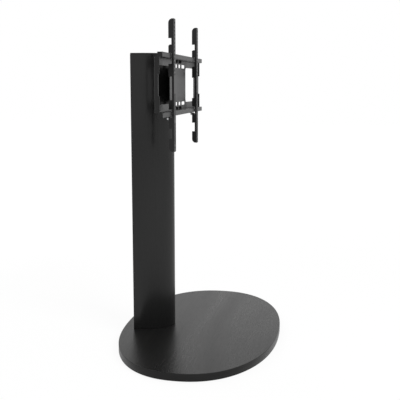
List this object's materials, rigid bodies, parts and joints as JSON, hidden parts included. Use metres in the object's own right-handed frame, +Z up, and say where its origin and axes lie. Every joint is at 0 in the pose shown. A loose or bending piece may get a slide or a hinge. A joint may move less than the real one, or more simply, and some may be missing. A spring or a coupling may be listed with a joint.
{
  "type": "tv stand with mount",
  "caption": "Floor stand for a flat screen: oval base board, tall round-nosed column and a pressed steel wall plate with hook-on arms that slide along its rails.",
  "frame": {"origin": "on the floor under the middle of the oval base board", "axes": "+Z up; -Y towards the screen's side, so the column's flat back faces +Y; +X along the board's length, to the right of someone who faces +Y"},
  "size_m": [0.935, 0.56, 1.1114],
  "materials": {
    "black_oak": "satin black stain over open-pored oak",
    "black_edge": "satin black",
    "black_panel": "matt black",
    "rib_board": "raw fibreboard",
    "black_steel": "satin black powder coat",
    "grey_steel": "dark grey primer",
    "black_bolt": "black oxide",
    "zinc": "bright zinc plate",
    "black_plastic": "fine matt texture"
  },
  "bodies": {
    "stand": {"base_board": "black_oak", "column_shell": "black_oak", "column_top_cap": "black_edge", "rear_panel": "black_panel", "column_rib_lower": "rib_board", "column_rib_middle": "rib_board", "column_rib_upper": "rib_board", "reinforcing_plate": "grey_steel", "spine_foot_plate": "grey_steel", "spine_tube": "grey_steel", "wall_plate": "black_steel", "mount_sleeves": "black_steel", "mount_bolts": "black_bolt", "rear_panel_screws": "black_bolt", "mount_nuts": "zinc", "foot_bolts": "zinc", "glide_screws": "zinc", "base_glides": "black_plastic", "cable_grommet_upper": "black_plastic", "cable_grommet_lower": "black_plastic"},
    "left_arm": {"arm_left": "black_steel"},
    "right_arm": {"arm_right": "black_steel"},
    "left_lock": {"lock_screw_left": "zinc"},
    "right_lock": {"lock_screw_right": "zinc"}
  },
  "joints": [
    {"name": "arm_left_slide", "type": "slide", "parent": "stand", "child": "left_arm", "axis": [1, 0, 0], "range_m": [-0.125, 0.182]},
    {"name": "arm_right_slide", "type": "slide", "parent": "stand", "child": "right_arm", "axis": [1, 0, 0], "range_m": [-0.184, 0.15]},
    {"name": "lock_screw_left_travel", "type": "slide", "parent": "left_arm", "child": "left_lock", "axis": [0, 0, -1], "range_m": [0, 0.015]},
    {"name": "lock_screw_right_travel", "type": "slide", "parent": "right_arm", "child": "right_lock", "axis": [0, 0, -1], "range_m": [0, 0.015]}
  ]
}
